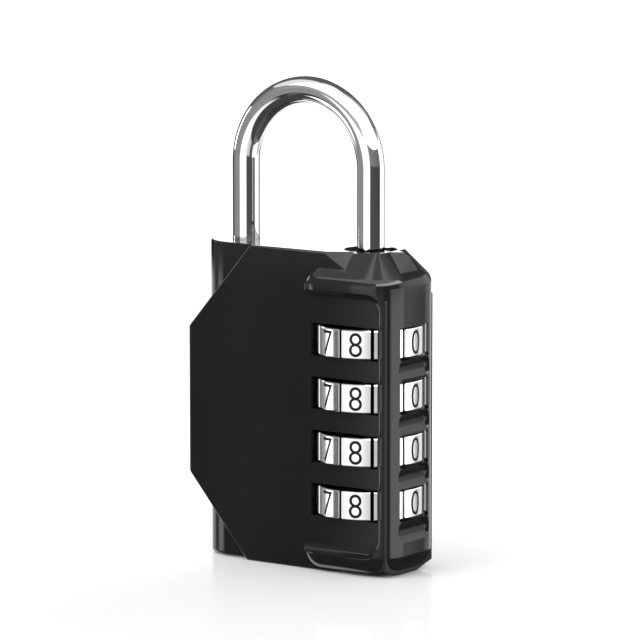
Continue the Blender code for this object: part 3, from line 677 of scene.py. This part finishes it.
def make_rivet(node, name):
    """A rivet along Y: a shank and a slightly crowned head."""
    low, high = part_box(node)
    x, z = (low.x + high.x) / 2, (low.z + high.z) / 2
    radius = (high.x - low.x) / 2
    head, overlap, crown = 0.6 * MM, 0.05 * MM, 0.25 * MM
    half = (high.y - head - low.y) / 2
    shank = add_rod(name, radius * 2 / 3, -half, half, x, low.y + half + overlap, sides=48, turn=ALONG_Y, z=z)
    cap = add_rod("rivet_head", radius, -head / 2, head / 2, x, high.y - head / 2, sides=64,
                  turn=ALONG_Y, z=z)
    round_edges(cap, lambda edge: is_sharp(edge, 60) and middle_of(edge).y > high.y - head / 2, crown, 4)
    return shade(join(shank, cap))


# ---------------------------------------------------------------- finishes

NOISE_LOW, NOISE_HIGH = 0.3, 0.7  # the range that noise seldom leaves
# painted shade in a dial's grooves: full below the first depth, none above the second, in the colour given
# next
GROOVE_SHADE_FULL, GROOVE_SHADE_NONE = 0.26 * MM, 0.08 * MM  # depths in a dial's groove
GROOVE_SHADE_COLOUR = (0.01, 0.01, 0.01)


def add_node(tree, kind, **values):
    node = tree.nodes.new(kind)
    for name, value in values.items():
        setattr(node, name, value)
    return node


def new_group(name, inputs, outputs):
    group = bpy.data.node_groups.new(name, "ShaderNodeTree")
    for label, kind, default in inputs:
        socket = group.interface.new_socket(name=label, in_out="INPUT", socket_type=kind)
        socket.default_value = default
    for label in outputs:
        group.interface.new_socket(name=label, in_out="OUTPUT", socket_type="NodeSocketFloat")
    return group, add_node(group, "NodeGroupInput"), add_node(group, "NodeGroupOutput")


def make_surface_group():
    """Fine relief and slow clouds, for any cast, plated or moulded surface."""
    group, given, result = new_group("surface_variation", [
        ("Vector", "NodeSocketVector", (0, 0, 0)), ("Grain Scale", "NodeSocketFloat", 1500.0),
        ("Cloud Scale", "NodeSocketFloat", 90.0)], ["Grain", "Clouds"])
    for label, scale, detail, roughness in (("Grain", "Grain Scale", 3.0, 0.55),
                                            ("Clouds", "Cloud Scale", 5.0, 0.6)):
        noise = add_node(group, "ShaderNodeTexNoise")
        noise.inputs["Detail"].default_value = detail
        noise.inputs["Roughness"].default_value = roughness
        group.links.new(given.outputs["Vector"], noise.inputs["Vector"])
        group.links.new(given.outputs[scale], noise.inputs["Scale"])
        group.links.new(noise.outputs["Fac"], result.inputs[label])
    return group


def make_turned_group():
    """Rings left by turning: noise that changes fast along the axis and slowly around it."""
    group, given, result = new_group("turned_rings", [
        ("Vector", "NodeSocketVector", (0, 0, 0)), ("Ring Scale", "NodeSocketFloat", 9000.0)], ["Rings"])
    stretch = add_node(group, "ShaderNodeMapping")
    stretch.inputs["Scale"].default_value = (0.01, 0.01, 1)
    noise = add_node(group, "ShaderNodeTexNoise")
    noise.inputs["Detail"].default_value = 2.0
    group.links.new(given.outputs["Vector"], stretch.inputs["Vector"])
    group.links.new(stretch.outputs["Vector"], noise.inputs["Vector"])
    group.links.new(given.outputs["Ring Scale"], noise.inputs["Scale"])
    group.links.new(noise.outputs["Fac"], result.inputs["Rings"])
    return group


def make_hollow_group():
    """A mask for the painted shade deep in a dial's grooves, by the distance from the dial's axis."""
    group, given, result = new_group("groove_shade", [
        ("Vector", "NodeSocketVector", (0, 0, 0)), ("Inner Radius", "NodeSocketFloat", 0.0086),
        ("Outer Radius", "NodeSocketFloat", 0.0089)], ["Depth"])
    flat = add_node(group, "ShaderNodeVectorMath", operation="MULTIPLY")
    flat.inputs[1].default_value = (1, 1, 0)
    length_node = add_node(group, "ShaderNodeVectorMath", operation="LENGTH")
    ramp = add_node(group, "ShaderNodeMapRange", interpolation_type="SMOOTHSTEP")
    ramp.inputs["To Min"].default_value = 1.0
    ramp.inputs["To Max"].default_value = 0.0
    group.links.new(given.outputs["Vector"], flat.inputs[0])
    group.links.new(flat.outputs["Vector"], length_node.inputs[0])
    group.links.new(length_node.outputs["Value"], ramp.inputs["Value"])
    group.links.new(given.outputs["Inner Radius"], ramp.inputs["From Min"])
    group.links.new(given.outputs["Outer Radius"], ramp.inputs["From Max"])
    group.links.new(ramp.outputs["Result"], result.inputs["Depth"])
    return group


def place_group(tree, group, vector, **values):
    node = add_node(tree, "ShaderNodeGroup", node_tree=group)
    tree.links.new(vector, node.inputs["Vector"])
    for label, value in values.items():
        node.inputs[label.replace("_", " ")].default_value = value
    return node


def spread(tree, source, low, high):
    """A noise mask turned into values between low and high."""
    node = add_node(tree, "ShaderNodeMapRange")
    node.inputs["From Min"].default_value = NOISE_LOW
    node.inputs["From Max"].default_value = NOISE_HIGH
    node.inputs["To Min"].default_value = low
    node.inputs["To Max"].default_value = high
    tree.links.new(source, node.inputs["Value"])
    return node.outputs["Result"]


def blend_colours(tree, mask, first, second):
    """A colour blend by a mask; each colour is a link or three numbers."""
    node = add_node(tree, "ShaderNodeMix", data_type="RGBA")
    factor, first_socket, second_socket = node.inputs[0], node.inputs[6], node.inputs[7]
    tree.links.new(mask, factor)
    for source, socket in ((first, first_socket), (second, second_socket)):
        if isinstance(source, bpy.types.NodeSocket):
            tree.links.new(source, socket)
        else:
            socket.default_value = (*source, 1)
    return node.outputs[2]


def make_finish(name, tint, metallic, roughness, groups, grain=1500.0, clouds=90.0, relief=0.05,
                shade_to=0.75, ior=1.5):
    """A surface in one colour that clouds slightly, with varied gloss and a fine relief."""
    finish = bpy.data.materials.new(name)
    finish.use_nodes = True
    tree = finish.node_tree
    shader = tree.nodes["Principled BSDF"]
    shader.inputs["Metallic"].default_value = metallic
    shader.inputs["IOR"].default_value = ior
    place = add_node(tree, "ShaderNodeTexCoord")
    surface = place_group(tree, groups["surface"], place.outputs["Object"], Grain_Scale=grain,
                          Cloud_Scale=clouds)
    darker = [part * shade_to for part in tint]
    colours = blend_colours(tree, surface.outputs["Clouds"], tint, darker)
    tree.links.new(colours, shader.inputs["Base Color"])
    tree.links.new(spread(tree, surface.outputs["Clouds"], *roughness), shader.inputs["Roughness"])
    bump = add_node(tree, "ShaderNodeBump")
    bump.inputs["Strength"].default_value = relief
    bump.inputs["Distance"].default_value = 0.02 * MM
    tree.links.new(surface.outputs["Grain"], bump.inputs["Height"])
    tree.links.new(bump.outputs["Normal"], shader.inputs["Normal"])
    return finish


def make_dial_finish(colours, groups):
    """White satin over turned metal, with painted shade in the grooves that is darkest where they are
    deepest.
    """
    finish = make_finish("dial_satin", colours.dial, 0.97, (0.14, 0.2), groups, relief=0.03, shade_to=0.96)
    tree = finish.node_tree
    shader = tree.nodes["Principled BSDF"]
    place = add_node(tree, "ShaderNodeTexCoord")
    centre = add_node(tree, "ShaderNodeMapping")
    centre.inputs["Location"].default_value = (-DIAL_X, 0, 0)
    tree.links.new(place.outputs["Object"], centre.inputs["Vector"])
    groove_shade_mask = place_group(tree, groups["groove_shade_mask"], centre.outputs["Vector"],
                         Inner_Radius=DIAL_RADIUS - GROOVE_SHADE_FULL, Outer_Radius=DIAL_RADIUS - GROOVE_SHADE_NONE)
    rings = place_group(tree, groups["rings"], place.outputs["Object"])
    satin = shader.inputs["Base Color"].links[0].from_socket
    # the grooves' painted shade, blended over the satin by depth
    shaded_satin = blend_colours(tree, groove_shade_mask.outputs["Depth"], satin, GROOVE_SHADE_COLOUR)
    tree.links.new(shaded_satin, shader.inputs["Base Color"])
    tree.links.new(spread(tree, rings.outputs["Rings"], 0.13, 0.2), shader.inputs["Roughness"])
    return finish


def finish_named(name):
    finish = bpy.data.materials.get(name)
    if finish is None:
        raise RuntimeError("the finish %s isn't made yet" % name)
    return finish


def make_finishes(colours):
    groups = {"surface": make_surface_group(), "rings": make_turned_group(), "groove_shade_mask": make_hollow_group()}
    make_finish("satin_lacquer", colours.lacquer, 0.0, (0.1, 0.13), groups, 1300.0, 60.0, 0.04, 0.7, 1.42)
    make_finish("mirror_chrome", colours.chrome, 1.0, (0.03, 0.06), groups, 2500.0, 120.0, 0.01, 0.94)
    make_dial_finish(colours, groups)
    make_finish("digit_ink", colours.digit, 0.0, (0.35, 0.45), groups, 2500.0, 300.0, 0.05, 0.6, 1.25)
    make_finish("turned_brass", colours.brass, 1.0, (0.22, 0.34), groups, 1800.0, 200.0, 0.08, 0.8)
    make_finish("spring_wire", colours.steel, 1.0, (0.24, 0.36), groups, 2200.0, 200.0, 0.06, 0.8)
    make_finish("moulded_nylon", colours.nylon, 0.0, (0.14, 0.2), groups, 1200.0, 150.0, 0.12, 0.7)


# ---------------------------------------------------------------- stage

def make_floor(stage):
    """A pale sweep: a floor that curves up into a backdrop far behind."""
    half = stage.floor_size / 2
    deselect()
    bpy.ops.mesh.primitive_plane_add(size=stage.floor_size, location=(0, 0, 0))
    floor = named("floor")
    pick_points(floor, lambda co: co.y > half - MM)
    bpy.ops.mesh.extrude_region_move(TRANSFORM_OT_translate={"value": (0, 0, half)})
    leave_edit()
    round_edges(floor, lambda edge: is_sharp(edge, 60), half / 4, 16)
    shade(floor, 40)
    pale = bpy.data.materials.new("pale_floor")
    pale.use_nodes = True
    shader = pale.node_tree.nodes["Principled BSDF"]
    shader.inputs["Base Color"].default_value = (0.93, 0.93, 0.93, 1)
    shader.inputs["Roughness"].default_value = 0.12
    shader.inputs["IOR"].default_value = 1.6
    floor.data.materials.append(pale)
    floor.visible_glossy = False
    return floor


def add_ramp(tree, stops):
    """A colour ramp over the compass, from (degrees, brightness) stops between -180 and 180."""
    warmth = (1, 0.995, 0.985)
    ramp = add_node(tree, "ShaderNodeValToRGB")
    marks = ramp.color_ramp.elements
    while len(marks) < len(stops):
        marks.new(0.5)
    for mark, (degrees, bright) in zip(marks, stops):
        mark.position = (degrees + 180) / 360
        mark.color = (*(bright * part for part in warmth), 1)
    return ramp


# The studio's light cards, in layers from below the floor upwards. Each layer starts at a height in
# millimetres and lists (degrees around the compass, brightness): -90 is the front and 0 the dial side.
CARDS = (
    # under the lock, for the edges that face down
    (None, ((-180, 1.6), (-174, 1.6), (-170, 0.06), (142, 0.06), (154, 1.6), (180, 1.6))),
    # beside the case, for its upright faces and the dials
    (-30, ((-180, 0.3), (-162, 0.3), (-158, 2.8), (-144, 2.8), (-136.5, 0.03), (-130, 0.06), (-127.5, 0.16),
           (-124, 0.06), (-121, 0.03), (-114, 1.1), (-76, 1.3), (-58, 0.8), (-36, 0.6), (-29, 0.08),
           (-9, 0.1), (-2, 3.0), (32, 2.4), (38, 1.0), (48, 0.9), (51, 0.4), (59, 0.4), (62, 0.9),
           (84, 0.9), (92, 1.2), (180, 1.2))),
    # beside the shackle's legs
    (31, ((-180, 0.25), (-118, 0.32), (-114, 1.5), (-62, 1.5), (-57, 0.09), (22, 0.06), (28, 1.4), (76, 1.4),
          (80, 0.3), (120, 0.25), (126, 0.03), (176, 0.02), (180, 0.25))),
    # for the bow, the plate's upper cut edge and the top face
    (64, ((-180, 6.0), (-176.5, 6.0), (-174, 0.3), (-118, 0.3), (-114, 1.5), (-62, 1.5), (-57, 0.25),
          (22, 0.15), (28, 1.4), (76, 1.4), (80, 0.3), (112, 0.3), (115, 3.2), (133, 3.2), (136, 0.02),
          (175, 0.02), (177.5, 6.0), (180, 6.0))),
    # for the edge under the column's chamfer
    (112, ((-180, 0.15), (-150, 0.3), (-62, 0.6), (-58, 9.0), (38, 9.0), (42, 0.3), (90, 0.12), (180, 0.12))),
    # overhead
    (168, ((-180, 0.9), (-146, 0.9), (-138, 3.0), (20, 3.0), (50, 1.0), (80, 0.12), (168, 0.12), (176, 0.9),
           (180, 0.9))),
)
CARD_BLEND = 3  # millimetres over which a layer fades into the next, on each side of its start


def make_reflection_ring():
    """The cards, on the inside of a tall ring around the lock that only shiny surfaces see."""
    radius, foot, top = 150 * MM, -60 * MM, 600 * MM
    ring = add_rod("reflection_ring", radius, foot, top, 0, sides=128)
    pick(ring, "FACE", lambda face: face.normal.z > 0.5)
    bpy.ops.mesh.delete(type="FACE")
    leave_edit()
    glow = bpy.data.materials.new("ring_cards")
    glow.use_nodes = True
    tree = glow.node_tree
    tree.nodes.clear()
    place = add_node(tree, "ShaderNodeTexCoord")
    parts = add_node(tree, "ShaderNodeSeparateXYZ")
    tree.links.new(place.outputs["Object"], parts.inputs["Vector"])
    angle = add_node(tree, "ShaderNodeMath", operation="ARCTAN2")
    tree.links.new(parts.outputs["Y"], angle.inputs[0])
    tree.links.new(parts.outputs["X"], angle.inputs[1])
    compass = add_node(tree, "ShaderNodeMapRange")
    compass.inputs["From Min"].default_value = -math.pi
    compass.inputs["From Max"].default_value = math.pi
    tree.links.new(angle.outputs["Value"], compass.inputs["Value"])
    cards = None
    for start, stops in CARDS:
        ramp = add_ramp(tree, stops)
        tree.links.new(compass.outputs["Result"], ramp.inputs["Fac"])
        if cards is None:
            cards = ramp.outputs["Color"]
            continue
        mask = add_node(tree, "ShaderNodeMapRange", interpolation_type="SMOOTHSTEP")
        mask.inputs["From Min"].default_value = (start - CARD_BLEND) * MM
        mask.inputs["From Max"].default_value = (start + CARD_BLEND) * MM
        tree.links.new(parts.outputs["Z"], mask.inputs["Value"])
        cards = blend_colours(tree, mask.outputs["Result"], cards, ramp.outputs["Color"])
    light = add_node(tree, "ShaderNodeEmission")
    tree.links.new(cards, light.inputs["Color"])
    result = add_node(tree, "ShaderNodeOutputMaterial")
    tree.links.new(light.outputs["Emission"], result.inputs["Surface"])
    ring.data.materials.append(glow)
    ring.visible_camera = False
    ring.visible_diffuse = False
    ring.visible_shadow = False
    ring.visible_transmission = False


# name, place, size in metres and power in watts
LAMPS = (("soft_box", (-0.35, -0.7, 0.75), 0.6, 7.0), ("fill_box", (0.8, -0.3, 0.5), 0.4, 2.0))


def make_lights():
    """An even studio: a white surround, a large soft box high on the left and a smaller one on the right."""
    world = bpy.data.worlds.new("studio")
    world.use_nodes = True
    world.node_tree.nodes["Background"].inputs["Color"].default_value = (1, 1, 1, 1)
    world.node_tree.nodes["Background"].inputs["Strength"].default_value = 1.08
    bpy.context.scene.world = world
    target = Vector((0, 0, 40 * MM))
    for name, place, size, power in LAMPS:
        deselect()
        turn = (target - Vector(place)).to_track_quat("-Z", "Y").to_euler()
        bpy.ops.object.light_add(type="AREA", location=place, rotation=turn)
        lamp = bpy.context.object
        lamp.name = name
        lamp.data.energy = power
        lamp.data.size = size
        lamp.visible_glossy = False


def make_camera(stage):
    target = Vector((stage.target_x, 0, stage.target_z))
    turn, rise = stage.camera_turn, stage.camera_rise
    back = Vector((math.sin(turn) * math.cos(rise), -math.cos(turn) * math.cos(rise), math.sin(rise)))
    deselect()
    bpy.ops.object.camera_add(location=target + back * stage.camera_distance,
                              rotation=(-back).to_track_quat("-Z", "Y").to_euler())
    camera = bpy.context.object
    camera.name = "camera"
    camera.data.lens = stage.camera_lens
    camera.data.sensor_width = 36
    camera.data.clip_start = 0.01
    camera.data.clip_end = 20
    bpy.context.scene.camera = camera


# ---------------------------------------------------------------- operators

class PADLOCK_OT_finishes(bpy.types.Operator):
    """Make the lacquer, chrome, satin, ink, brass, steel and nylon"""
    bl_idname = "padlock.finishes"
    bl_label = "Make Finishes"

    def execute(self, context):
        make_finishes(context.scene.padlock_finishes)
        return {"FINISHED"}


class PADLOCK_OT_case(bpy.types.Operator):
    """Build the housing and the rear cover"""
    bl_idname = "padlock.case"
    bl_label = "Build Case"

    def execute(self, context):
        lacquer = finish_named("satin_lacquer")
        housing, cover = make_case(context.scene.padlock_case)
        hand_over(housing, "case", "black_lacquer", lacquer, "housing")
        hand_over(cover, "case", "black_lacquer", lacquer, "back_cover")
        return {"FINISHED"}


class PADLOCK_OT_dials(bpy.types.Operator):
    """Build the dials and print their digits"""
    bl_idname = "padlock.dials"
    bl_label = "Build Dials"

    def execute(self, context):
        sizes = context.scene.padlock_dials
        satin, ink = finish_named("dial_satin"), finish_named("digit_ink")
        first_ring, first_print = make_dial(sizes), make_digits(sizes)
        for number, node in enumerate(DIALS):
            offset = (0, 0, DIAL_HEIGHTS[number] - DIAL_HEIGHTS[0])
            ring = moved_copy(first_ring, "dial_ring_%d" % (number + 1), offset)
            digits = moved_copy(first_print, "dial_print_%d" % (number + 1), offset)
            body = "dial_wheel_%d" % (number + 1)
            hand_over(ring, body, "dial_enamel", satin, node)
            hand_over(digits, body, "black_lacquer", ink)
        bpy.data.objects.remove(first_ring)
        bpy.data.objects.remove(first_print)
        return {"FINISHED"}


class PADLOCK_OT_shackle(bpy.types.Operator):
    """Build the shackle"""
    bl_idname = "padlock.shackle"
    bl_label = "Build Shackle"

    def execute(self, context):
        hand_over(make_shackle(), "shackle_bar", "chrome", finish_named("mirror_chrome"), "shackle")
        return {"FINISHED"}


class PADLOCK_OT_small_parts(bpy.types.Operator):
    """Build the bushings and rivets, and finish the parts inside"""
    bl_idname = "padlock.small_parts"
    bl_label = "Build Small Parts"

    def execute(self, context):
        nylon, lacquer = finish_named("moulded_nylon"), finish_named("satin_lacquer")
        for node in ("heel_bushing", "toe_bushing"):
            hand_over(make_bushing(node, node + "_ring"), "case", "nylon", nylon, node)
        for node in RIVETS:
            hand_over(make_rivet(node, node + "_head"), "case", "black_lacquer", lacquer, node)
        for node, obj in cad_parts.items():
            for start, finish in (("clutch_hub", "turned_brass"), ("spring_seat", "turned_brass"),
                                  ("spacer", "spring_wire"), ("shackle_spring", "spring_wire"),
                                  ("detent", "spring_wire")):
                if node.startswith(start):
                    obj.data.materials.clear()
                    obj.data.materials.append(finish_named(finish))
        return {"FINISHED"}


class PADLOCK_OT_stage(bpy.types.Operator):
    """Set up the floor, the cards, the lights and the camera"""
    bl_idname = "padlock.stage"
    bl_label = "Set Up Stage"

    def execute(self, context):
        stage = context.scene.padlock_stage
        make_floor(stage)
        make_reflection_ring()
        make_lights()
        make_camera(stage)
        context.scene.view_settings.view_transform = "Standard"
        return {"FINISHED"}


class PADLOCK_PT_panel(bpy.types.Panel):
    """Lists the steps and their settings"""
    bl_idname = "PADLOCK_PT_panel"
    bl_label = "Combination Padlock"
    bl_space_type = "VIEW_3D"
    bl_region_type = "UI"
    bl_category = "Padlock"

    def draw(self, context):
        for operator in STEPS:
            self.layout.operator(operator.bl_idname)
        for name, group in GROUPS:
            box = self.layout.box()
            for setting in group.__annotations__:
                box.prop(getattr(context.scene, name), setting)


STEPS = (PADLOCK_OT_finishes, PADLOCK_OT_stage, PADLOCK_OT_case, PADLOCK_OT_dials, PADLOCK_OT_shackle,
         PADLOCK_OT_small_parts)
GROUPS = (("padlock_case", PADLOCK_PG_case), ("padlock_dials", PADLOCK_PG_dials),
          ("padlock_finishes", PADLOCK_PG_finishes), ("padlock_stage", PADLOCK_PG_stage))


def register():
    for name, group in GROUPS:
        bpy.utils.register_class(group)
        setattr(bpy.types.Scene, name, PointerProperty(type=group))
    for cls in STEPS + (PADLOCK_PT_panel,):
        bpy.utils.register_class(cls)


def unregister():
    for cls in reversed(STEPS + (PADLOCK_PT_panel,)):
        bpy.utils.unregister_class(cls)
    for name, group in reversed(GROUPS):
        delattr(bpy.types.Scene, name)
        bpy.utils.unregister_class(group)


def main():
    register()
    bpy.ops.padlock.finishes()
    bpy.ops.padlock.stage()
    bpy.ops.padlock.case()
    bpy.ops.padlock.dials()
    bpy.ops.padlock.shackle()
    bpy.ops.padlock.small_parts()


if __name__ == "__main__":
    main()
